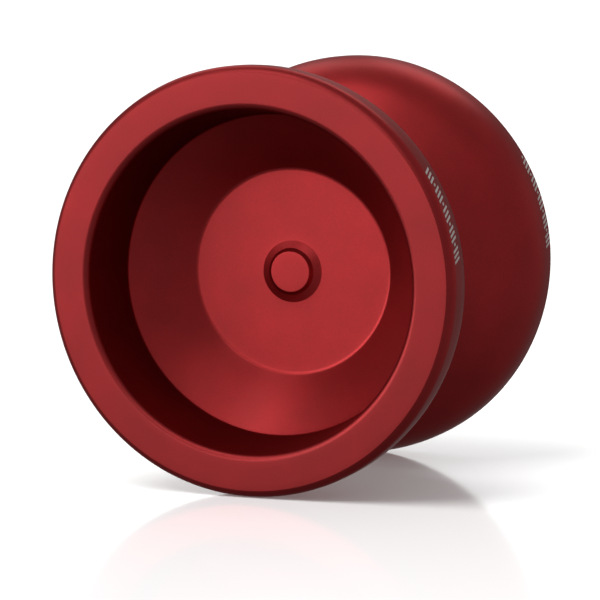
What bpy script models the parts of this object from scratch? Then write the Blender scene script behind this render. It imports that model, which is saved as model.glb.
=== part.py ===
"""A modern metal yo-yo that stands on its rims: two turned halves, an axle and a ball bearing.

The frame is in metres with +Z up. The axle lies along Y, the origin is the centre of the bearing,
and the front half's cup opens towards -Y. Every driving dimension below is in millimetres.
"""

import math

import bmesh
import bpy
from mathutils import Matrix, Vector

MM = 0.001

# The turned half. Radii are from the axle, and depths are distances from the mid-plane.
HALF_RADIUS = 27.75
HALF_DEPTH = 22.25
RIM_ROUND = 1.5
RIM_BREAK = math.radians(21.5)
RIM_BAND_DEPTH = 18.9
FACE_OUTER_RADIUS = 26.8
MOUTH_RADIUS = 22.2
MOUTH_ROUND = 0.9
CUP_RADIUS = 21.15
CUP_DEPTH = 11.65
DISH_RADIUS = 13.64
DISH_DEPTH = 5.65
BOSS_RADIUS = 4.12
BOSS_STEP_RADIUS = 3.12
BOSS_STEP_HEIGHT = 0.46
BOSS_TOP_RADIUS = 2.68
BOSS_HEIGHT = 0.9
WALL = 2.0

# The response area and the bearing's seat.
STRING_GAP = 4.5
THROAT_ROUND = 7.0
PAD_GROOVE_INNER = 7.3
PAD_GROOVE_OUTER = 9.55
PAD_GROOVE_DEPTH = 1.2
PAD_RECESS = 0.08
RECESS_RADIUS = 6.75
RECESS_DEPTH = 2.9
SHOULDER_RADIUS = 3.95
POST_CLEARANCE = 0.025
POST_END = 0.15
POST_CHAMFER = 0.25

# The axle is an M4 x 10 grub screw, modelled at its crests.
AXLE_RADIUS = 1.97
AXLE_LENGTH = 10.0
AXLE_CHAMFER = 0.4
AXLE_HOLE_RADIUS = 2.0
AXLE_HOLE_DEPTH = 5.05
AXLE_HOLE_POINT = 0.4
HEX_ACROSS_FLATS = 2.0
HEX_DEPTH = 2.2

# The bearing: 6.35 bore, 12.7 outside, 4.7625 wide, with ten balls.
BEARING_BORE = 3.175
BEARING_RADIUS = 6.35
BEARING_HALF_WIDTH = 2.38125
BEARING_CHAMFER = 0.2
BALL_COUNT = 10
BALL_RADIUS = 0.79375
PITCH_RADIUS = 4.7625
RACE_RADIUS = 0.8255
INNER_LAND_RADIUS = 4.25
OUTER_LAND_RADIUS = 5.28
SHIELD_SEAT_RADIUS = 5.66
SHIELD_SEAT_DEPTH = 1.7
SHIELD_INNER_RADIUS = 4.4
SHIELD_THICKNESS = 0.2
SHIELD_DISH = 0.12
SHIELD_LIP = 0.4
RING_GROOVE_RADIUS = 5.9
RING_GROOVE_NEAR = 1.98
RING_GROOVE_FAR = 2.2
SNAP_RING_INNER = 5.5
SNAP_RING_OPENING = 28.0

# The crown cage that spaces the balls.
CAGE_INNER = 4.46
CAGE_OUTER = 5.08
CAGE_BACK = 1.32
CAGE_FRONT = -0.48
POCKET_RADIUS = 0.86
HORN_GAP_RADIUS = 0.26
HORN_GAP_TOP = 0.1

RUNNING_GAP = 0.03
SEAT_GAP = 0.04
BEARING_PLAY = 0.02
CUTTER_OVERRUN = 1.0

HALF_STEPS = 48
BEARING_STEPS = 32
AXLE_STEPS = 24
ROUND_STEP = math.radians(17)
RACE_STEPS = 4
SHARP_EDGE = math.radians(30)
WELD = 0.0001


def material(name, colour, roughness, metallic):
    """A Principled material, its colour as linear red, green and blue."""
    made = bpy.data.materials.new(name)
    made.use_nodes = True
    shader = made.node_tree.nodes["Principled BSDF"]
    shader.inputs["Base Color"].default_value = (*colour, 1.0)
    shader.inputs["Roughness"].default_value = roughness
    shader.inputs["Metallic"].default_value = metallic
    return made


def place(name, mesh, finish, parent=None):
    """Puts a mesh in the scene under a name, and gives it the finish unless it already has one."""
    part = bpy.data.objects.new(name, mesh)
    bpy.context.scene.collection.objects.link(part)
    if not mesh.materials:
        mesh.materials.append(finish)
    part.parent = parent
    return part


def pivot(name, location, parent=None):
    """An empty on a joint's axis, which carries the pieces that turn there."""
    empty = bpy.data.objects.new(name, None)
    empty.location = [MM * value for value in location]
    empty.parent = parent
    bpy.context.scene.collection.objects.link(empty)
    return empty


def rounded(corners):
    """The outline through (radius, depth, round) corners, with an arc at each corner that has a round."""
    outline = []
    for index, (radius, depth, size) in enumerate(corners):
        here = Vector((radius, depth))
        if not size:
            outline.append(here)
            continue
        back = (Vector(corners[index - 1][:2]) - here).normalized()
        ahead = (Vector(corners[(index + 1) % len(corners)][:2]) - here).normalized()
        half_angle = back.angle(ahead) / 2
        centre = here + (back + ahead).normalized() * size / math.sin(half_angle)
        start = here + back * size / math.tan(half_angle) - centre
        sweep = start.angle_signed(here + ahead * size / math.tan(half_angle) - centre)
        steps = max(2, round(abs(sweep) / ROUND_STEP))
        for step in range(steps + 1):
            outline.append(centre + Matrix.Rotation(-sweep * step / steps, 2) @ start)
    return outline


def arc(centre, size, first, last, steps):
    """Points on an arc about (radius, depth), from one angle to another in degrees."""
    angles = [math.radians(first + (last - first) * step / steps) for step in range(steps + 1)]
    return [Vector((centre[0] + size * math.cos(a), centre[1] + size * math.sin(a))) for a in angles]


def turned(name, outline, steps, sweep=360.0, start=0.0):
    """Turns a (radius, depth) outline about the Y axis, closed into a ring where it leaves the axis."""
    shape = bmesh.new()
    whole = sweep == 360.0
    points = [shape.verts.new((MM * p[0], MM * p[1], 0)) for p in outline]
    on_axis = outline[0][0] == 0
    for first, second in zip(points, points[1:] + ([] if on_axis else points[:1])):
        shape.edges.new((first, second))
    if not whole:
        shape.faces.new(points)
    bmesh.ops.rotate(shape, verts=shape.verts, matrix=Matrix.Rotation(math.radians(start), 3, "Y"))
    bmesh.ops.spin(
        shape,
        geom=shape.verts[:] + shape.edges[:] + shape.faces[:],
        axis=(0, 1, 0),
        cent=(0, 0, 0),
        angle=math.radians(sweep),
        steps=steps,
        use_merge=whole,
        use_duplicate=False,
    )
    return finished(name, shape)


def finished(name, shape):
    """Welds a bmesh, turns its faces outwards and shades it smooth except at real edges."""
    bmesh.ops.remove_doubles(shape, verts=shape.verts, dist=MM * WELD)
    bmesh.ops.recalc_face_normals(shape, faces=shape.faces)
    mesh = bpy.data.meshes.new(name)
    shape.to_mesh(mesh)
    shape.free()
    mesh.shade_smooth()
    mesh.set_sharp_from_angle(angle=SHARP_EDGE)
    return mesh


def cut(part, cutter):
    """Cuts one object from another and leaves the cutter out of the render."""
    cutter.hide_render = True
    cutter.display_type = "WIRE"
    modifier = part.modifiers.new(f"cut_{cutter.name}", "BOOLEAN")
    modifier.operation = "DIFFERENCE"
    modifier.solver = "EXACT"
    modifier.object = cutter


def half_outline():
    """The section of one half, from the middle of its hub, over the rim and back to the axle's hole."""
    post_radius = BEARING_BORE - POST_CLEARANCE
    seat_depth = BEARING_HALF_WIDTH + BEARING_PLAY
    slope = (CUP_DEPTH - DISH_DEPTH) / (CUP_RADIUS - DISH_RADIUS)
    flank_drop = WALL * math.hypot(1, slope)

    def flank_depth(radius):
        """The outer flank runs parallel to the cup's floor, a wall's thickness below it."""
        return DISH_DEPTH + slope * (radius - DISH_RADIUS) - flank_drop

    face = STRING_GAP / 2
    shoulder_depth = HALF_DEPTH - (HALF_RADIUS - FACE_OUTER_RADIUS) * math.tan(RIM_BREAK)
    throat_radius = DISH_RADIUS + (face + flank_drop - DISH_DEPTH) / slope
    flank_corner = flank_depth(HALF_RADIUS)
    bend = math.pi / 2 - math.atan(slope)
    flank_round = (RIM_BAND_DEPTH - flank_corner) / math.tan(bend / 2)
    return rounded(
        [
            (0, DISH_DEPTH + BOSS_HEIGHT, 0),
            (BOSS_TOP_RADIUS, DISH_DEPTH + BOSS_HEIGHT, 0),
            (BOSS_STEP_RADIUS, DISH_DEPTH + BOSS_STEP_HEIGHT, 0),
            (BOSS_RADIUS, DISH_DEPTH, 0),
            (DISH_RADIUS, DISH_DEPTH, 0),
            (CUP_RADIUS, CUP_DEPTH, 0),
            (MOUTH_RADIUS, HALF_DEPTH, MOUTH_ROUND),
            (FACE_OUTER_RADIUS, HALF_DEPTH, 0),
            (HALF_RADIUS, shoulder_depth, RIM_ROUND),
            (HALF_RADIUS, flank_corner, flank_round),
            (throat_radius, face, THROAT_ROUND),
            (PAD_GROOVE_OUTER, face, 0),
            (PAD_GROOVE_OUTER, face + PAD_GROOVE_DEPTH, 0),
            (PAD_GROOVE_INNER, face + PAD_GROOVE_DEPTH, 0),
            (PAD_GROOVE_INNER, face, 0),
            (RECESS_RADIUS, face, 0),
            (RECESS_RADIUS, RECESS_DEPTH, 0),
            (SHOULDER_RADIUS, RECESS_DEPTH, 0),
            (SHOULDER_RADIUS, seat_depth, 0),
            (post_radius, seat_depth, 0),
            (post_radius, POST_END + POST_CHAMFER, 0),
            (post_radius - POST_CHAMFER, POST_END, 0),
            (AXLE_HOLE_RADIUS, POST_END, 0),
            (AXLE_HOLE_RADIUS, AXLE_HOLE_DEPTH, 0),
            (0, AXLE_HOLE_DEPTH + AXLE_HOLE_POINT, 0),
        ]
    )


def make_halves(root, front_pivot):
    """Both halves come off the same lathe: the front one is the rear one turned about Z."""
    anodised = material("red_anodised_aluminium", (0.43, 0.028, 0.032), 0.38, 1.0)
    mesh = turned("half", half_outline(), HALF_STEPS)
    place("rear_half", mesh, anodised, root)
    front = place("front_half", mesh, anodised, front_pivot)
    front.rotation_euler.z = math.pi


def make_pads(root, front_pivot):
    """Soft rings that fill the groove of each half and grip the string."""
    silicone = material("grey_silicone", (0.55, 0.55, 0.56), 0.6, 0.0)
    inner, outer = PAD_GROOVE_INNER + SEAT_GAP, PAD_GROOVE_OUTER - SEAT_GAP
    low, high = STRING_GAP / 2 + PAD_RECESS, STRING_GAP / 2 + PAD_GROOVE_DEPTH - SEAT_GAP
    outline = [(inner, low), (outer, low), (outer, high), (inner, high)]
    mesh = turned("response_pad", outline, HALF_STEPS)
    place("response_pad_rear", mesh, silicone, root)
    front = place("response_pad_front", mesh, silicone, front_pivot)
    front.rotation_euler.z = math.pi


def make_axle(root):
    """A headless screw with chamfered ends and a hexagon socket in its front end."""
    steel = material("black_oxide_steel", (0.05, 0.05, 0.055), 0.45, 1.0)
    end = AXLE_LENGTH / 2
    outline = [
        (0, end),
        (AXLE_RADIUS - AXLE_CHAMFER, end),
        (AXLE_RADIUS, end - AXLE_CHAMFER),
        (AXLE_RADIUS, AXLE_CHAMFER - end),
        (AXLE_RADIUS - AXLE_CHAMFER, -end),
        (0, -end),
    ]
    axle = place("axle", turned("axle", outline, AXLE_STEPS), steel, root)
    corner = HEX_ACROSS_FLATS / math.sqrt(3)
    bottom, outside = HEX_DEPTH - end, -end - CUTTER_OVERRUN
    outline = [(0, bottom), (corner, bottom), (corner, outside), (0, outside)]
    cut(axle, place("hex_socket", turned("hex_socket", outline, 6), steel, root))


def make_rings(inner_pivot, outer_pivot):
    """The bearing's two rings, each with a ball groove a little larger than the balls."""
    steel = material("bearing_steel", (0.56, 0.57, 0.58), 0.22, 1.0)
    side = BEARING_HALF_WIDTH
    spread = math.degrees(math.acos((PITCH_RADIUS - INNER_LAND_RADIUS) / RACE_RADIUS))
    outline = [
        (BEARING_BORE, BEARING_CHAMFER - side),
        (BEARING_BORE, side - BEARING_CHAMFER),
        (BEARING_BORE + BEARING_CHAMFER, side),
        (INNER_LAND_RADIUS, side),
        *arc((PITCH_RADIUS, 0), RACE_RADIUS, 180 - spread, 180 + spread, RACE_STEPS),
        (INNER_LAND_RADIUS, -side),
        (BEARING_BORE + BEARING_CHAMFER, -side),
    ]
    place("inner_ring", turned("inner_ring", outline, BEARING_STEPS), steel, inner_pivot)

    spread = math.degrees(math.acos((OUTER_LAND_RADIUS - PITCH_RADIUS) / RACE_RADIUS))
    seat = [
        (OUTER_LAND_RADIUS, SHIELD_SEAT_DEPTH),
        (SHIELD_SEAT_RADIUS, SHIELD_SEAT_DEPTH),
        (SHIELD_SEAT_RADIUS, RING_GROOVE_NEAR),
        (RING_GROOVE_RADIUS, RING_GROOVE_NEAR),
        (RING_GROOVE_RADIUS, RING_GROOVE_FAR),
        (SHIELD_SEAT_RADIUS, RING_GROOVE_FAR),
        (SHIELD_SEAT_RADIUS, side),
        (BEARING_RADIUS - BEARING_CHAMFER, side),
        (BEARING_RADIUS, side - BEARING_CHAMFER),
    ]
    outline = [
        *arc((PITCH_RADIUS, 0), RACE_RADIUS, -spread, spread, RACE_STEPS),
        *seat,
        *[(radius, -depth) for radius, depth in reversed(seat)],
    ]
    place("outer_ring", turned("outer_ring", outline, BEARING_STEPS), steel, outer_pivot)


def make_shields(outer_pivot):
    """Thin dished discs that close the bearing, and the split rings that hold them in."""
    sheet = material("shield_steel", (0.5, 0.51, 0.52), 0.3, 1.0)
    wire = material("snap_ring_steel", (0.42, 0.43, 0.45), 0.3, 1.0)
    near = SHIELD_SEAT_DEPTH + RUNNING_GAP
    edge = SHIELD_SEAT_RADIUS - SEAT_GAP
    outline = [
        (SHIELD_INNER_RADIUS, near + SHIELD_DISH),
        (edge - SHIELD_LIP, near),
        (edge, near),
        (edge, near + SHIELD_THICKNESS),
        (edge - SHIELD_LIP, near + SHIELD_THICKNESS),
        (SHIELD_INNER_RADIUS, near + SHIELD_DISH + SHIELD_THICKNESS),
    ]
    shield = turned("shield", outline, BEARING_STEPS)
    low = RING_GROOVE_NEAR + RUNNING_GAP
    high = RING_GROOVE_FAR - RUNNING_GAP
    outer = RING_GROOVE_RADIUS - SEAT_GAP
    outline = [(SNAP_RING_INNER, low), (outer, low), (outer, high), (SNAP_RING_INNER, high)]
    ring = turned(
        "snap_ring", outline, BEARING_STEPS, 360 - SNAP_RING_OPENING, 90 + SNAP_RING_OPENING / 2
    )
    for side, turn in (("rear", 0.0), ("front", math.pi)):
        for name, mesh, finish in (("shield", shield, sheet), ("snap_ring", ring, wire)):
            place(f"{name}_{side}", mesh, finish, outer_pivot).rotation_euler.z = turn


def ball_centre(index, depth=0.0):
    """Where a ball sits on the pitch circle; half a step steps past the ball."""
    angle = 2 * math.pi * index / BALL_COUNT
    return Vector((PITCH_RADIUS * math.cos(angle), depth, PITCH_RADIUS * math.sin(angle)))


def make_cage(cage_pivot):
    """A crown: a ring whose horns reach round each ball, with a slit between neighbouring pockets."""
    finish = material("cage_steel", (0.6, 0.55, 0.42), 0.35, 1.0)
    outline = [
        (CAGE_INNER, CAGE_FRONT),
        (CAGE_OUTER, CAGE_FRONT),
        (CAGE_OUTER, CAGE_BACK),
        (CAGE_INNER, CAGE_BACK),
    ]
    cage = place("bearing_cage", turned("bearing_cage", outline, 4 * BALL_COUNT), finish, cage_pivot)
    pockets = bmesh.new()
    slits = bmesh.new()
    for index in range(BALL_COUNT):
        pocket = Matrix.Translation(MM * ball_centre(index))
        bmesh.ops.create_uvsphere(
            pockets, u_segments=12, v_segments=8, radius=MM * POCKET_RADIUS, matrix=pocket
        )
        outward = Vector((0, 0, 1)).rotation_difference(ball_centre(index + 0.5)).to_matrix().to_4x4()
        reach = HORN_GAP_TOP - CAGE_FRONT
        slit = Matrix.Translation(MM * ball_centre(index + 0.5, CAGE_FRONT)) @ outward
        bmesh.ops.create_cone(
            slits,
            cap_ends=True,
            segments=8,
            radius1=MM * HORN_GAP_RADIUS,
            radius2=MM * HORN_GAP_RADIUS,
            depth=MM * (CAGE_OUTER - CAGE_INNER + 2 * CUTTER_OVERRUN),
            matrix=slit @ Matrix.Diagonal((1, reach / HORN_GAP_RADIUS, 1, 1)),
        )
    cut(cage, place("cage_pockets", finished("cage_pockets", pockets), finish, cage_pivot))
    cut(cage, place("cage_slits", finished("cage_slits", slits), finish, cage_pivot))


def make_balls(cage_pivot):
    """Each ball turns on its own axle line, parallel to Y, as the cage carries it round."""
    steel = material("ball_steel", (0.62, 0.62, 0.63), 0.12, 1.0)
    shape = bmesh.new()
    bmesh.ops.create_uvsphere(shape, u_segments=12, v_segments=6, radius=MM * BALL_RADIUS)
    mesh = finished("ball", shape)
    for index in range(BALL_COUNT):
        ball = place(f"ball_{index + 1:02d}", mesh, steel, cage_pivot)
        ball.location = MM * ball_centre(index)


def main():
    for item in list(bpy.data.objects):
        bpy.data.objects.remove(item, do_unlink=True)
    root = pivot("rear_side", (0, 0, 0))
    carrier = pivot("bearing_carrier", (0, 0, 0), root)
    front_pivot = pivot("front_half_turns", (0, 0, 0), carrier)
    outer_pivot = pivot("outer_ring_turns", (0, 0, 0), carrier)
    cage_pivot = pivot("cage_turns", (0, 0, 0), carrier)
    make_halves(root, front_pivot)
    make_pads(root, front_pivot)
    make_axle(root)
    make_rings(carrier, outer_pivot)
    make_shields(outer_pivot)
    make_cage(cage_pivot)
    make_balls(cage_pivot)


main()
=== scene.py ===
import math

import bmesh
import bpy
from mathutils import Matrix, Vector


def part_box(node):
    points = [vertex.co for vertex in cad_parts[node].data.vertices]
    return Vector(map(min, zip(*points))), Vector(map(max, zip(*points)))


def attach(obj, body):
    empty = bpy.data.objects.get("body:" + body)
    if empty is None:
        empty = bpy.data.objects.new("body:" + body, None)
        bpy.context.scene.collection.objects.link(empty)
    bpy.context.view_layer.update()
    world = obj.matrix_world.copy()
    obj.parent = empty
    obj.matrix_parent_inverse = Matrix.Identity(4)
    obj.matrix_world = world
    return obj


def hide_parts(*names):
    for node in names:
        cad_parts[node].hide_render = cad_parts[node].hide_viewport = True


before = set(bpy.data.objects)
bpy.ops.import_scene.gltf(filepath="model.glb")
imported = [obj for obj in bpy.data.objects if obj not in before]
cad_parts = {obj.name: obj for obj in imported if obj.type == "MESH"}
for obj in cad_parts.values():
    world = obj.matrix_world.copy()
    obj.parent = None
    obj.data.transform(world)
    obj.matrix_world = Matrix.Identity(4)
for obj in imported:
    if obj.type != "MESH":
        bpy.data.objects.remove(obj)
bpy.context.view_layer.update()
mm = 0.001
weld = 0.001 * mm
fineWeld = weld / 10

print("frame loaded:", len(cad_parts), "nodes")


def toLinear(hexColour):
    # sRGB hex such as "b3202c" to linear red, green, blue, alpha
    parts = [int(hexColour[i:i + 2], 16) / 255 for i in (0, 2, 4)]
    return tuple(p / 12.92 if p <= 0.04045 else ((p + 0.055) / 1.055) ** 2.4 for p in parts) + (1.0,)


def addNode(tree, kind, settings=None, **links):
    # makes one node, sets its values and wires the named inputs; "_" in a name stands for a space
    node = tree.nodes.new("ShaderNode" + kind)
    for key, value in (settings or {}).items():
        if key in node.inputs:
            node.inputs[key].default_value = value
        else:
            setattr(node, key, value)
    for key, source in links.items():
        tree.links.new(source, node.inputs[key.replace("_", " ")])
    return node


def newMaterial(name, **values):
    made = bpy.data.materials.new(name)
    made.use_nodes = True
    shader = made.node_tree.nodes["Principled BSDF"]
    for key, value in values.items():
        shader.inputs[key.replace("_", " ")].default_value = value
    return made, made.node_tree, shader


def colourRamp(tree, stops, **links):
    ramp = addNode(tree, "ValToRGB", None, **links)
    ends = ramp.color_ramp.elements
    while len(ends) < len(stops):
        ends.new(0.5)
    for end, (place, colour) in zip(ends, stops):
        end.position = place
        end.color = colour
    return ramp


def roundedOutline(corners, arcStep=7.0):
    # the outline through (radius, depth, round) corners in mm, an arc wherever a corner has a round
    outline = []
    for i, (radius, depth, size) in enumerate(corners):
        here = Vector((radius, depth))
        if not size:
            outline.append(here)
            continue
        back = (Vector(corners[i - 1][:2]) - here).normalized()
        ahead = (Vector(corners[(i + 1) % len(corners)][:2]) - here).normalized()
        half = back.angle(ahead) / 2
        centre = here + (back + ahead).normalized() * size / math.sin(half)
        first = here + back * size / math.tan(half) - centre
        sweep = first.angle_signed(here + ahead * size / math.tan(half) - centre)
        steps = max(3, round(abs(math.degrees(sweep)) / arcStep))
        outline += [centre + Matrix.Rotation(-sweep * k / steps, 2) @ first for k in range(steps + 1)]
    return outline


def filled(outline, longest):
    # adds points along straight stretches, so that long faces still shade evenly
    points = []
    for a, b in zip(outline, outline[1:] + outline[:1]):
        count = max(1, math.ceil((b - a).length / longest))
        points += [a.lerp(b, k / count) for k in range(count)]
    return points


def lathe(name, outline, steps, closed=True, sweep=360.0, start=0.0):
    # turns a (radius, depth) outline in mm about Y
    shape = bmesh.new()
    whole = sweep == 360.0
    rings = []
    for k in range(steps if whole else steps + 1):
        a = math.radians(start + sweep * k / steps)
        ring = []
        for p in outline:
            if not p[0] and rings:  # a point on the axis is shared by all the rings
                ring.append(rings[0][len(ring)])
            else:
                ring.append(shape.verts.new((mm * p[0] * math.cos(a), mm * p[1], mm * p[0] * math.sin(a))))
        rings.append(ring)
    pairs = list(zip(rings, rings[1:] + rings[:1])) if whole else list(zip(rings, rings[1:]))
    count = len(outline)
    for one, two in pairs:
        for i in range(count if closed else count - 1):
            j = (i + 1) % count
            corners = []
            for v in (one[i], one[j], two[j], two[i]):
                if v not in corners:
                    corners.append(v)
            if len(corners) > 2:
                shape.faces.new(corners)
    if not whole:
        shape.faces.new(rings[0])
        shape.faces.new(rings[-1])
    return toMesh(name, shape)


def toMesh(name, shape, sharp=32.0):
    # a smooth mesh that keeps its edges above the sharp angle, without points that no face uses
    bmesh.ops.delete(shape, geom=[v for v in shape.verts if not v.link_faces], context="VERTS")
    bmesh.ops.recalc_face_normals(shape, faces=shape.faces)
    mesh = bpy.data.meshes.new(name)
    shape.to_mesh(mesh)
    shape.free()
    mesh.shade_smooth()
    mesh.set_sharp_from_angle(angle=math.radians(sharp))
    return mesh


def cutMesh(name, mesh, cutters, sharp=32.0):
    # the mesh with the shape of every cutter taken out of it
    helpers = [bpy.data.objects.new(name, mesh)]
    helpers += [bpy.data.objects.new(cutter.name, cutter) for cutter in cutters]
    for helper in helpers:
        bpy.context.scene.collection.objects.link(helper)
    for helper in helpers[1:]:
        cut = helpers[0].modifiers.new(helper.name, "BOOLEAN")
        cut.solver = "EXACT"
        cut.object = helper
    bpy.context.view_layer.update()
    shape = bmesh.new()
    shape.from_object(helpers[0], bpy.context.evaluated_depsgraph_get())
    for helper in helpers:
        bpy.data.objects.remove(helper)
    bmesh.ops.remove_doubles(shape, verts=shape.verts, dist=fineWeld)
    bmesh.ops.dissolve_degenerate(shape, edges=shape.edges, dist=fineWeld)
    return toMesh(name, shape, sharp)


def addPiece(name, mesh, material, body, node=None, turn=0.0):
    # one piece, riding on its body; turn is about Z, so half a turn puts a rear shape on the front side
    piece = bpy.data.objects.new(name, mesh)
    bpy.context.scene.collection.objects.link(piece)
    piece.data.materials.clear()
    piece.data.materials.append(material)
    piece.rotation_euler.z = turn
    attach(piece, body)
    if node:
        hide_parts(node)
    return piece


# materials

blasted = {
    "deepRed": "731012",
    "brightRed": "861417",
    "grain": 0.16,       # mm across one dimple, drawn coarser than the real 0.05 so that it shows
    "grainDepth": 0.008,
    "grainStrength": 0.5,
    "cloud": 6.0,        # mm across one slow change of tone
    "cloudShare": 0.35,
    "metallic": 0.92,    # the dyed oxide skin scatters a little light of its own
    "roughness": 0.41,
    "roughSwing": 0.04,
    "coat": 0.13,
    "coatIor": 1.7,
    "coatRoughness": 0.36,
    "edgeTint": "9f9595",
    "paintedFaceShade": "dedede",  # painted shade: the flat rim face is drawn darker than the cup
    "faceFrom": 21.5,
    "faceTo": 22.2,
}


def anodisedAluminium():
    # bead-blasted, dyed and sealed: a soft metallic red, with a neutral sheen where the light grazes it,
    # and painted shade darkening the flat rim face
    made, tree, shader = newMaterial(
        "blastedRedAnodisedAluminium",
        Metallic=blasted["metallic"], Specular_Tint=toLinear(blasted["edgeTint"]),
        Coat_Weight=blasted["coat"], Coat_Roughness=blasted["coatRoughness"], Coat_IOR=blasted["coatIor"],
    )
    place = addNode(tree, "TexCoord").outputs["Object"]
    grain = addNode(
        tree, "TexNoise",
        {"Scale": 1 / (blasted["grain"] * mm), "Detail": 3.0, "Roughness": 0.6}, Vector=place,
    )
    cloud = addNode(tree, "TexNoise", {"Scale": 1 / (blasted["cloud"] * mm), "Detail": 2.0}, Vector=place)
    tone = addNode(
        tree, "Mix", {"data_type": "FLOAT", "Factor": blasted["cloudShare"]},
        A=grain.outputs["Fac"], B=cloud.outputs["Fac"],
    )
    colour = colourRamp(
        tree, [(0.35, toLinear(blasted["deepRed"])), (0.65, toLinear(blasted["brightRed"]))],
        Fac=tone.outputs["Result"],
    )
    depth = addNode(tree, "SeparateXYZ", None, Vector=place)
    # painted shade: between faceFrom and faceTo in depth the red is multiplied by a light grey, so the rim
    # face and its rounds come out darker
    paintedShadeMask = addNode(
        tree, "MapRange", {"From Min": blasted["faceFrom"] * mm, "From Max": blasted["faceTo"] * mm},
        Value=depth.outputs["Y"],
    )
    shade = colourRamp(
        tree, [(0, (1, 1, 1, 1)), (1, toLinear(blasted["paintedFaceShade"]))], Fac=paintedShadeMask.outputs["Result"]
    )
    dyeAndPaintedShade = addNode(tree, "VectorMath", {"operation": "MULTIPLY"})
    tree.links.new(colour.outputs["Color"], dyeAndPaintedShade.inputs[0])
    tree.links.new(shade.outputs["Color"], dyeAndPaintedShade.inputs[1])
    tree.links.new(dyeAndPaintedShade.outputs["Vector"], shader.inputs["Base Color"])
    rough = addNode(
        tree, "MapRange",
        {
            "To Min": blasted["roughness"] - blasted["roughSwing"],
            "To Max": blasted["roughness"] + blasted["roughSwing"],
        },
        Value=grain.outputs["Fac"],
    )
    tree.links.new(rough.outputs["Result"], shader.inputs["Roughness"])
    bump = addNode(
        tree, "Bump",
        {"Strength": blasted["grainStrength"], "Distance": blasted["grainDepth"] * mm},
        Height=grain.outputs["Fac"],
    )
    tree.links.new(bump.outputs["Normal"], shader.inputs["Normal"])
    return made


def etchedAluminium():
    # laser-etched through the dye: bare oxide, a matt pale grey
    made, tree, shader = newMaterial("laserEtchedAluminium", Metallic=0.6, Roughness=0.55)
    place = addNode(tree, "TexCoord").outputs["Object"]
    speck = addNode(tree, "TexNoise", {"Scale": 1 / (0.12 * mm), "Detail": 2.0}, Vector=place)
    colour = colourRamp(
        tree, [(0.3, toLinear("8a807d")), (0.7, toLinear("aaa19d"))], Fac=speck.outputs["Fac"]
    )
    tree.links.new(colour.outputs["Color"], shader.inputs["Base Color"])
    return made


def turnedSteel(name, dark, light, roughness, lineWidth):
    # ground or turned steel: fine lines run round the axle and stretch the highlight across them
    made, tree, shader = newMaterial(name, Metallic=1.0, Roughness=roughness)
    place = addNode(tree, "TexCoord").outputs["Object"]
    parts = addNode(tree, "SeparateXYZ", None, Vector=place)
    squareX = addNode(tree, "Math", {"operation": "MULTIPLY"})
    squareZ = addNode(tree, "Math", {"operation": "MULTIPLY"})
    for i in (0, 1):
        tree.links.new(parts.outputs["X"], squareX.inputs[i])
        tree.links.new(parts.outputs["Z"], squareZ.inputs[i])
    total = addNode(tree, "Math", {"operation": "ADD"})
    tree.links.new(squareX.outputs[0], total.inputs[0])
    tree.links.new(squareZ.outputs[0], total.inputs[1])
    radius = addNode(tree, "Math", {"operation": "SQRT"})
    tree.links.new(total.outputs[0], radius.inputs[0])
    across = addNode(tree, "CombineXYZ", None, X=radius.outputs[0], Y=parts.outputs["Y"])
    lines = addNode(
        tree, "TexNoise", {"Scale": 1 / (lineWidth * mm), "Detail": 2.0}, Vector=across.outputs[0]
    )
    colour = colourRamp(tree, [(0.3, toLinear(dark)), (0.7, toLinear(light))], Fac=lines.outputs["Fac"])
    tree.links.new(colour.outputs["Color"], shader.inputs["Base Color"])
    rough = addNode(
        tree, "MapRange", {"To Min": roughness * 0.8, "To Max": roughness * 1.25},
        Value=lines.outputs["Fac"],
    )
    tree.links.new(rough.outputs["Result"], shader.inputs["Roughness"])
    bump = addNode(tree, "Bump", {"Strength": 0.2, "Distance": 0.003 * mm}, Height=lines.outputs["Fac"])
    tree.links.new(bump.outputs["Normal"], shader.inputs["Normal"])
    return made


def mouldedSilicone():
    # soft cast silicone: milky grey, faintly cloudy, light sinks in a little
    made, tree, shader = newMaterial(
        "castGreySilicone", Roughness=0.5, IOR=1.41, Subsurface_Weight=0.25, Subsurface_Scale=0.6 * mm,
    )
    place = addNode(tree, "TexCoord").outputs["Object"]
    cloud = addNode(tree, "TexNoise", {"Scale": 1 / (2.2 * mm), "Detail": 4.0}, Vector=place)
    colour = colourRamp(
        tree, [(0.3, toLinear("a9a9ad")), (0.7, toLinear("c4c4c6"))], Fac=cloud.outputs["Fac"]
    )
    tree.links.new(colour.outputs["Color"], shader.inputs["Base Color"])
    skin = addNode(tree, "TexNoise", {"Scale": 1 / (0.15 * mm), "Detail": 2.0}, Vector=place)
    bump = addNode(tree, "Bump", {"Strength": 0.3, "Distance": 0.01 * mm}, Height=skin.outputs["Fac"])
    tree.links.new(bump.outputs["Normal"], shader.inputs["Normal"])
    return made


redMetal = anodisedAluminium()
etch = etchedAluminium()
ringSteel = turnedSteel("groundBearingSteel", "a9abad", "c6c8ca", 0.24, 0.06)
ballSteel = turnedSteel("lappedBallSteel", "c4c6c8", "d6d8da", 0.08, 0.25)
cageSteel = turnedSteel("pressedCageSteel", "9c958a", "b8b1a4", 0.36, 0.12)
shieldSteel = turnedSteel("rolledShieldSteel", "a6a8ab", "bfc1c4", 0.3, 0.1)
springSteel = turnedSteel("springWireSteel", "7d8084", "97999d", 0.32, 0.12)
oxideSteel = turnedSteel("blackOxideSteel", "2b2b2d", "3b3b3e", 0.42, 0.08)
silicone = mouldedSilicone()
print("materials made")

# the two halves

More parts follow.
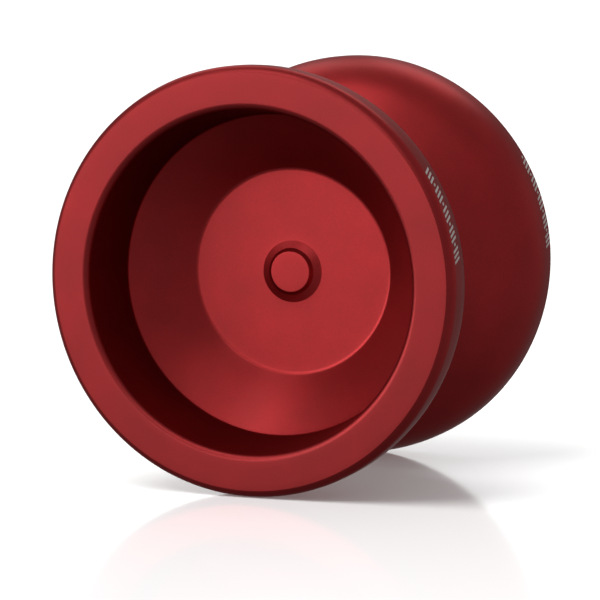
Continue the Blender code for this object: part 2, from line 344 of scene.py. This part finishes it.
rearLow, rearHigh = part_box("rear_half")
half = {
    "radius": rearHigh.x / mm,
    "depth": rearHigh.y / mm,
    "faceOuter": 26.8,
    "shoulderDepth": 21.876,
    "shoulderRound": 1.5,
    "mouthRadius": 22.2,
    "mouthRound": 0.9,
    "cupRadius": 21.15,
    "cupDepth": 11.65,
    "dishRadius": 13.64,
    "dishDepth": 5.65,
    "bossRadius": 4.12,
    "bossStepRadius": 3.12,
    "bossStepHeight": 0.46,
    "bossTopRadius": 2.68,
    "bossHeight": 0.9,
    "wall": 2.0,
    "bandDepth": 19.2,
    "stringGap": 4.5,
    "throatRound": 7.0,
    "grooveOuter": 9.55,
    "grooveInner": 7.3,
    "grooveDepth": 1.2,
    "recessRadius": 6.75,   # room round the bearing's outer ring
    "recessDepth": 2.9,
    "stopRadius": 3.95,     # the step that the inner ring rests on
    "stopDepth": 2.4,
    "postEnd": 0.15,
    "postRadius": 3.15,
    "boreDepth": 5.05,
    "boreTip": 0.4,
    "threadOuter": 2.12,
    "threadInner": 1.98,    # just clear of the screw's crests
    "pitch": 0.7,
    "steps": 256,
}


def halfOutline(h):
    # the floor of the cup and the outer flank run parallel, a wall apart
    slope = (h["cupDepth"] - h["dishDepth"]) / (h["cupRadius"] - h["dishRadius"])
    drop = h["wall"] * math.hypot(1, slope)
    face = h["stringGap"] / 2
    flankCorner = h["dishDepth"] + slope * (h["radius"] - h["dishRadius"]) - drop
    bend = math.pi / 2 - math.atan(slope)
    flankRound = (h["bandDepth"] - flankCorner) / math.tan(bend / 2)
    throat = h["dishRadius"] + (face + drop - h["dishDepth"]) / slope
    bossTop = h["dishDepth"] + h["bossHeight"]
    thread = []
    depth = h["postEnd"] + h["pitch"] / 2
    while depth + h["pitch"] < h["boreDepth"]:  # rings stand in for the tapped thread
        thread += [(h["threadInner"], depth, 0), (h["threadOuter"], depth + h["pitch"] / 2, 0)]
        depth += h["pitch"]
    return roundedOutline(
        [
            (0, bossTop, 0),
            (h["bossTopRadius"], bossTop, 0.14),
            (h["bossStepRadius"], h["dishDepth"] + h["bossStepHeight"], 0.14),
            (h["bossRadius"], h["dishDepth"], 0.2),
            (h["dishRadius"], h["dishDepth"], 0.9),
            (h["cupRadius"], h["cupDepth"], 0.5),
            (h["mouthRadius"], h["depth"], h["mouthRound"]),
            (h["faceOuter"], h["depth"], 0.05),
            (h["radius"], h["shoulderDepth"], h["shoulderRound"]),
            (h["radius"], flankCorner, flankRound),
            (throat, face, h["throatRound"]),
            (h["grooveOuter"], face, 0.08),
            (h["grooveOuter"], face + h["grooveDepth"], 0.12),
            (h["grooveInner"], face + h["grooveDepth"], 0.12),
            (h["grooveInner"], face, 0.08),
            (h["recessRadius"], face, 0.08),
            (h["recessRadius"], h["recessDepth"], 0.15),
            (h["stopRadius"], h["recessDepth"], 0.15),
            (h["stopRadius"], h["stopDepth"], 0.08),
            (h["postRadius"], h["stopDepth"], 0.06),
            (h["postRadius"], h["postEnd"], 0.22),
            (h["threadOuter"], h["postEnd"], 0),
            *thread,
            (h["threadOuter"], h["boreDepth"], 0),
            (0, h["boreDepth"] + h["boreTip"], 0),
        ],
        5.0,
    )


halfMesh = lathe("turnedHalf", filled(halfOutline(half), 1.2), half["steps"], closed=False)
addPiece("rearHalfTurned", halfMesh, redMetal, "rear_side", "rear_half")
addPiece(
    "frontHalfTurned", halfMesh.copy(), redMetal, "front_side", "front_half", math.pi
)
print("halves turned:", len(halfMesh.vertices), "points each")

# etched marks on the rim bands: plain slanted bars and dots

marks = {
    "height": 1.9,
    "width": 0.34,
    "pitch": 0.66,
    "slant": 0.35,
    "proud": 0.012,
    "thick": 0.03,
    "short": 0.3,        # every fourth mark is this share of the height
    "bandMiddle": 20.0,
    "firstAngle": 4.0,
    "lastAngle": 31.5,
}


def etchedRow(name, m, radius):
    shape = bmesh.new()
    stepAngle = math.degrees(m["pitch"] / radius)
    count = int((m["lastAngle"] - m["firstAngle"]) / stepAngle)
    for i in range(count):
        middle = math.radians(m["firstAngle"] + stepAngle * (i + 0.5))
        tall = m["height"] * (m["short"] if i % 4 == 3 else 1.0)
        rows = []
        for v in (-0.5, -0.17, 0.17, 0.5):
            row = []
            for u in (-0.5, 0.5):
                a = middle + (u * m["width"] + v * tall * m["slant"]) / radius
                r = (radius + m["proud"]) * mm
                depth = (m["bandMiddle"] + v * tall) * mm
                row.append(shape.verts.new((r * math.cos(a), depth, r * math.sin(a))))
            rows.append(row)
        for one, two in zip(rows, rows[1:]):
            shape.faces.new((one[0], one[1], two[1], two[0]))
    skin = bmesh.ops.extrude_face_region(shape, geom=shape.faces[:])
    for v in [g for g in skin["geom"] if isinstance(g, bmesh.types.BMVert)]:
        outward = Vector((v.co.x, 0, v.co.z)).normalized()
        v.co -= outward * m["thick"] * mm
    return toMesh(name, shape)


addPiece("rearEtchedMarks", etchedRow("rearMarks", marks, half["radius"]), etch, "rear_side")
frontMarks = dict(marks, bandMiddle=-marks["bandMiddle"], firstAngle=7.0, lastAngle=33.0)
addPiece("frontEtchedMarks", etchedRow("frontMarks", frontMarks, half["radius"]), etch, "front_side")
print("marks etched")

# response pads

pad = {"inner": 7.34, "outer": 9.51, "top": 2.33, "bottom": 3.41, "edge": 0.18, "steps": 160}
padMesh = lathe(
    "pad",
    filled(roundedOutline([
        (pad["inner"], pad["bottom"], 0.05),
        (pad["inner"], pad["top"], pad["edge"]),
        (pad["outer"], pad["top"], pad["edge"]),
        (pad["outer"], pad["bottom"], 0.05),
    ], 12), 0.5),
    pad["steps"],
)
addPiece("rearPad", padMesh, silicone, "rear_side", "response_pad_rear")
addPiece("frontPad", padMesh.copy(), silicone, "front_side", "response_pad_front", math.pi)
print("pads cast")

# axle: a headless screw with a rolled thread

axle = {
    "radius": 1.97, "root": 1.62, "pitch": 0.7, "length": 10.0, "chamfer": 0.45,
    "socket": 2.0, "socketDepth": 2.2, "socketTip": 0.4, "socketMouth": 0.18,
}


def screwMesh(name, s, steps=72):
    shape = bmesh.new()
    halfLength = s["length"] / 2
    # one thread: share of the pitch, and radius
    profile = [
        (0.0, s["root"]), (0.12, s["root"]), (0.44, s["radius"]), (0.56, s["radius"]), (0.88, s["root"]),
    ]
    turns = range(-int(halfLength / s["pitch"]) - 2, int(halfLength / s["pitch"]) + 3)
    stations = [((t + share) * s["pitch"], radius) for t in turns for share, radius in profile]
    perTurn = len(profile)
    grid = []
    for depth, radius in stations:
        row = []
        for k in range(steps):
            y = depth + s["pitch"] * k / steps
            y = max(-halfLength, min(halfLength, y))
            cone = s["radius"] - max(0.0, s["chamfer"] - (halfLength - abs(y)))
            a = 2 * math.pi * k / steps
            r = min(radius, cone)
            row.append(shape.verts.new((mm * r * math.cos(a), mm * y, mm * r * math.sin(a))))
        grid.append(row)
    for i in range(len(grid) - 1):
        for k in range(steps):
            if k < steps - 1:
                corners = (grid[i][k], grid[i + 1][k], grid[i + 1][k + 1], grid[i][k + 1])
            elif i + perTurn + 1 < len(grid):  # the last column meets the first one a pitch further on
                corners = (grid[i][k], grid[i + 1][k], grid[i + 1 + perTurn][0], grid[i + perTurn][0])
            else:
                continue
            shape.faces.new(corners)
    bmesh.ops.remove_doubles(shape, verts=shape.verts, dist=weld)
    bmesh.ops.dissolve_degenerate(shape, edges=shape.edges, dist=weld)
    bmesh.ops.holes_fill(shape, edges=[e for e in shape.edges if e.is_boundary])
    return toMesh(name, shape, 25.0)


def socketMesh(s):
    # a hexagon key's socket, its mouth broken by a small cone
    corner = s["socket"] / math.sqrt(3)
    outside, bottom = -s["length"] / 2 - 1, s["socketDepth"] - s["length"] / 2
    mouth = -s["length"] / 2 + s["socketMouth"]
    hexagon = [(0, outside), (0, bottom + s["socketTip"]), (corner, bottom), (corner, outside)]
    cone = [(0, outside), (0, mouth), (corner - 0.05, mouth), (corner + 1.2, outside)]
    return [lathe("socket", hexagon, 6), lathe("socketMouth", cone, 48)]


screwShape = cutMesh("screwCut", screwMesh("screw", axle), socketMesh(axle), 25.0)
addPiece("threadedAxle", screwShape, oxideSteel, "rear_side", "axle")
print("axle threaded")

# bearing: rings, balls, cage, shields and snap rings

bearing = {
    "bore": 3.175, "outside": 6.35, "side": 2.38125, "chamfer": 0.2,
    "pitchRadius": 4.7625, "race": 0.8255, "ball": 0.79375, "balls": 10,
    "innerLand": 4.25, "outerLand": 5.28, "steps": 192,
    "halfway": 1.0,  # depth of an outline's two end corners, which only aim the rounds and are dropped
    "shieldSeat": 1.7, "seatRadius": 5.66, "grooveNear": 1.98, "grooveFar": 2.2, "grooveRadius": 5.9,
}


def arcPoints(centre, size, first, last, steps):
    angles = [math.radians(first + (last - first) * k / steps) for k in range(steps + 1)]
    return [Vector((centre[0] + size * math.cos(a), centre[1] + size * math.sin(a))) for a in angles]


def bearingRing(name, b, corners, raceArc):
    # the corners go over one side of the ring, the other side mirrors them, and the race closes them
    upper = roundedOutline(corners, 15)[1:-1]
    lower = [Vector((p.x, -p.y)) for p in reversed(upper)]
    first, last = raceArc
    race = arcPoints((b["pitchRadius"], 0), b["race"], first, last, 16)
    return lathe(name, upper + lower + race, b["steps"])


def innerRing(b):
    spread = math.degrees(math.acos((b["pitchRadius"] - b["innerLand"]) / b["race"]))
    corners = [
        (b["innerLand"], b["halfway"], 0), (b["innerLand"], b["side"], 0.08),
        (b["bore"], b["side"], b["chamfer"]), (b["bore"], -b["halfway"], 0),
    ]
    return bearingRing("innerRing", b, corners, (180 + spread, 180 - spread))


def outerRing(b):
    spread = math.degrees(math.acos((b["outerLand"] - b["pitchRadius"]) / b["race"]))
    corners = [
        (b["outerLand"], b["halfway"], 0), (b["outerLand"], b["shieldSeat"], 0.05),
        (b["seatRadius"], b["shieldSeat"], 0.05), (b["seatRadius"], b["grooveNear"], 0.02),
        (b["grooveRadius"], b["grooveNear"], 0.04), (b["grooveRadius"], b["grooveFar"], 0.04),
        (b["seatRadius"], b["grooveFar"], 0.02), (b["seatRadius"], b["side"], 0.06),
        (b["outside"], b["side"], b["chamfer"]), (b["outside"], b["halfway"], 0),
    ]
    return bearingRing("outerRing", b, corners, (-spread, spread))


addPiece("innerRingGround", innerRing(bearing), ringSteel, "bearing_core", "inner_ring")
addPiece("outerRingGround", outerRing(bearing), ringSteel, "bearing_outer", "outer_ring")


def ballPlace(i, depth=0.0):
    a = 2 * math.pi * i / bearing["balls"]
    radius = bearing["pitchRadius"]
    return Vector((radius * math.cos(a), depth, radius * math.sin(a))) * mm


for i in range(bearing["balls"]):
    shape = bmesh.new()
    bmesh.ops.create_uvsphere(
        shape, u_segments=48, v_segments=24, radius=bearing["ball"] * mm,
        matrix=Matrix.Translation(ballPlace(i)),
    )
    name = f"ball_{i + 1:02d}"
    addPiece(f"lappedBall_{i + 1:02d}", toMesh(name, shape), ballSteel, name, name)

shield = {"bore": 4.4, "bend": 5.22, "rim": 5.62, "near": 1.73, "dish": 0.12, "thick": 0.2}
shieldMesh = lathe(
    "shield",
    filled(roundedOutline([
        (shield["bore"], shield["near"] + shield["dish"], 0.04),
        (shield["bend"], shield["near"], 0.2),
        (shield["rim"], shield["near"], 0.04),
        (shield["rim"], shield["near"] + shield["thick"], 0.06),
        (shield["bend"], shield["near"] + shield["thick"], 0.2),
        (shield["bore"], shield["near"] + shield["dish"] + shield["thick"], 0.08),
    ], 15), 0.3),
    160,
)
wire = {"ringRadius": 5.72, "wireRadius": 0.1, "depth": 2.09, "opening": 28.0}
wireOutline = arcPoints((wire["ringRadius"], wire["depth"]), wire["wireRadius"], 0, 330, 11)
ringMesh = lathe("snapRing", wireOutline, 120, True, 360 - wire["opening"], 90 + wire["opening"] / 2)
for side, turn in (("rear", 0.0), ("front", math.pi)):
    addPiece(
        f"{side}Shield", shieldMesh.copy(), shieldSteel,
        "bearing_outer", f"shield_{side}", turn,
    )
    addPiece(
        f"{side}SnapRing", ringMesh.copy(), springSteel,
        "bearing_outer", f"snap_ring_{side}", turn,
    )

cage = {
    "inner": 4.46, "outer": 5.08, "back": 1.32, "front": -0.48,
    "pocket": 0.86, "slit": 0.26, "slitTop": 0.1, "cutLength": 2.0,
}


def cageMesh(c):
    outline = filled(roundedOutline([
        (c["inner"], c["front"], 0.05), (c["outer"], c["front"], 0.05),
        (c["outer"], c["back"], 0.08), (c["inner"], c["back"], 0.08),
    ], 30), 0.4)
    pockets = bmesh.new()
    slits = bmesh.new()
    for i in range(bearing["balls"]):
        bmesh.ops.create_uvsphere(
            pockets, u_segments=44, v_segments=22, radius=c["pocket"] * mm,
            matrix=Matrix.Translation(ballPlace(i)),
        )
        outward = Vector((0, 0, 1)).rotation_difference(ballPlace(i + 0.5)).to_matrix().to_4x4()
        stretch = Matrix.Diagonal((1, (c["slitTop"] - c["front"]) / c["slit"], 1, 1))
        bmesh.ops.create_cone(
            slits, cap_ends=True, segments=24,
            radius1=c["slit"] * mm, radius2=c["slit"] * mm, depth=c["cutLength"] * mm,
            matrix=Matrix.Translation(ballPlace(i + 0.5, c["front"])) @ outward @ stretch,
        )
    cutters = [toMesh("pockets", pockets), toMesh("slits", slits)]
    return cutMesh("cage", lathe("cageRing", outline, 240), cutters)


addPiece("crownCage", cageMesh(cage), cageSteel, "ball_carrier", "bearing_cage")
print("bearing built")

# floor, light and camera

studio = {
    "floorSize": 14.0,
    "floorColour": "f7f7f7",
    "floorRoughness": 0.1,
    "floorSuns": [("floorSun", 2.6, True), ("floorFill", 0.85, False)],  # name, strength, casts a shadow
    "floorSunFrom": (-42, 61),
    "floorSunSpread": 40.0,
    "worldAbove": 0.6,
    "worldBelow": 0.25,
}

# name, azimuth from the front face towards +X, elevation, distance, size, radiance
panels = [
    ("keyLow", -55, 5, 1.0, 0.45, 6.0),
    ("keySide", -40, 22, 1.0, 0.45, 3.9),
    ("keyHigh", -40, 42, 1.0, 0.5, 1.9),
    ("frontSide", -25, 5, 1.0, 0.45, 3.5),
    ("frontLow", -10, 3, 1.0, 0.45, 1.1),
    ("frontHigh", -25, 62, 1.0, 0.35, 4.4),
    ("frontFill", 10, 40, 1.0, 0.45, 3.1),
    ("rearLeft", -135, 45, 1.0, 0.5, 2.8),
    ("rearHigh", 180, 45, 1.0, 0.5, 3.0),
    ("rearRight", 135, 12, 1.0, 0.5, 0.3),
]
floorBack = ("floorBack", 200, 9, 6.8, 6.0, 0.5)

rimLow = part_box("front_half")[0].z


def direction(azimuth, elevation):
    # azimuth 0 faces the front cup and grows towards +X
    a, e = math.radians(azimuth), math.radians(elevation)
    return Vector((math.sin(a) * math.cos(e), -math.cos(a) * math.cos(e), math.sin(e)))


def makeFloor(s):
    shape = bmesh.new()
    bmesh.ops.create_grid(
        shape, x_segments=1, y_segments=1, size=s["floorSize"] / 2,
        matrix=Matrix.Translation((0, 0, rimLow)),
    )
    floor = bpy.data.objects.new("paleFloor", toMesh("paleFloor", shape))
    values = {"Base_Color": toLinear(s["floorColour"]), "Roughness": s["floorRoughness"]}
    made = newMaterial("glossyPaleFloor", **values)[0]
    floor.data.materials.append(made)
    # the bright floor stays out of the metal's reflections, which then keep the studio's even grey
    floor.visible_glossy = False
    floor.visible_diffuse = False
    bpy.context.scene.collection.objects.link(floor)
    return floor


def addLight(name, data, lit):
    # lit is the collection that decides what the light falls on
    light = bpy.data.objects.new(name, data)
    bpy.context.scene.collection.objects.link(light)
    light.light_linking.receiver_collection = lit
    light.visible_camera = False
    return light


def addPanel(name, azimuth, elevation, distance, size, radiance, lit):
    data = bpy.data.lights.new(name, "AREA")
    data.shape = "SQUARE"
    data.size = size
    data.energy = radiance * math.pi * size ** 2
    panel = addLight(name, data, lit)
    panel.location = direction(azimuth, elevation) * distance
    panel.rotation_euler = (-panel.location).to_track_quat("-Z", "Y").to_euler()


floor = makeFloor(studio)
floorOnly = bpy.data.collections.new("floorOnly")
floorOnly.objects.link(floor)
offFloor = bpy.data.collections.new("offFloor")
offFloor.objects.link(floor)
offFloor.collection_objects[0].light_linking.link_state = "EXCLUDE"
for panel in panels:
    addPanel(*panel, offFloor)
# the floor has its own even light, and a pale wall of light behind for its gloss to pick up
addPanel(*floorBack, floorOnly)
for name, strength, shadow in studio["floorSuns"]:
    sunData = bpy.data.lights.new(name, "SUN")
    sunData.energy = strength
    sunData.use_shadow = shadow
    sunData.angle = math.radians(studio["floorSunSpread"])
    sun = addLight(name, sunData, floorOnly)
    sun.rotation_euler = (-direction(*studio["floorSunFrom"])).to_track_quat("-Z", "Y").to_euler()

# an even grey room that darkens towards the ground under the yo yo
world = bpy.data.worlds.new("studioWorld")
world.use_nodes = True
worldTree = world.node_tree
room = worldTree.nodes["Background"]
skyward = addNode(worldTree, "TexCoord").outputs["Generated"]
towards = addNode(worldTree, "SeparateXYZ", None, Vector=skyward)
height = addNode(
    worldTree, "MapRange",
    {"From Min": -0.95, "From Max": -0.3, "To Min": studio["worldBelow"], "To Max": studio["worldAbove"]},
    Value=towards.outputs["Z"],
)
room.inputs["Color"].default_value = (1, 1, 1, 1)
worldTree.links.new(height.outputs["Result"], room.inputs["Strength"])
bpy.context.scene.world = world

view = {
    "azimuth": 20.7, "elevation": 6.285, "distance": 0.4216, "lens": 188.67,
    "aimRight": -0.0010, "aimUp": -0.0044,
}


def makeCamera(v):
    back = direction(v["azimuth"], v["elevation"])
    right = Vector((-back.y, back.x, 0)).normalized()
    up = back.cross(right)
    data = bpy.data.cameras.new("mainView")
    data.lens = v["lens"]
    data.sensor_width = 36.0
    data.clip_start = 0.01
    data.clip_end = 50.0
    camera = bpy.data.objects.new("mainView", data)
    place = right * v["aimRight"] + up * v["aimUp"] + back * v["distance"]
    turned = Matrix((right, up, back)).transposed().to_4x4()
    camera.matrix_world = Matrix.Translation(place) @ turned
    bpy.context.scene.collection.objects.link(camera)
    bpy.context.scene.camera = camera


makeCamera(view)
bpy.context.scene.view_settings.view_transform = "Standard"
print("studio set")
